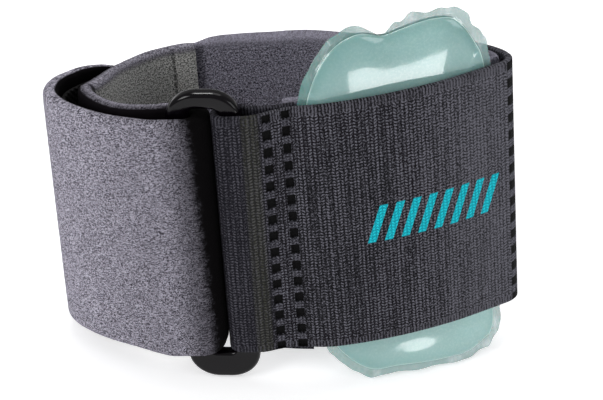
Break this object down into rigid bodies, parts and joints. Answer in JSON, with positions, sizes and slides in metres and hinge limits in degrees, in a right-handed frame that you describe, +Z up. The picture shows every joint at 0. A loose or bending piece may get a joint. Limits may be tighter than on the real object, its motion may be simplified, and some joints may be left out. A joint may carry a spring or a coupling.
{
  "type": "tennis elbow strap",
  "caption": "Tennis elbow strap: a grey foam strap doubled through a black ring buckle, black woven elastic, a heather foam lining and a clear teal air cell.",
  "frame": {"origin": "centre of the bounding box, at its bottom, where the band rests", "axes": "+Z up along the arm's direction, +Y to the back of the loop, +X to the end of the loop with the air cell"},
  "size_m": [0.13, 0.0612, 0.1091],
  "materials": {
    "strap_foam": "grey brushed loop cloth laminated on soft foam",
    "hook_nylon": "black hook tape, matte",
    "woven_elastic": "black ribbed woven elastic with ladder threads",
    "lining_foam": "dark heather knit laminated on soft foam",
    "cell_film": "soft clear teal film, welded, glossy",
    "buckle_plastic": "black moulded plastic, satin gloss"
  },
  "bodies": {
    "root": {"strap": "strap_foam", "hook_tab": "hook_nylon", "elastic_band": "woven_elastic", "lining_pad": "lining_foam", "air_cell": "cell_film", "buckle": "buckle_plastic"}
  },
  "joints": []
}
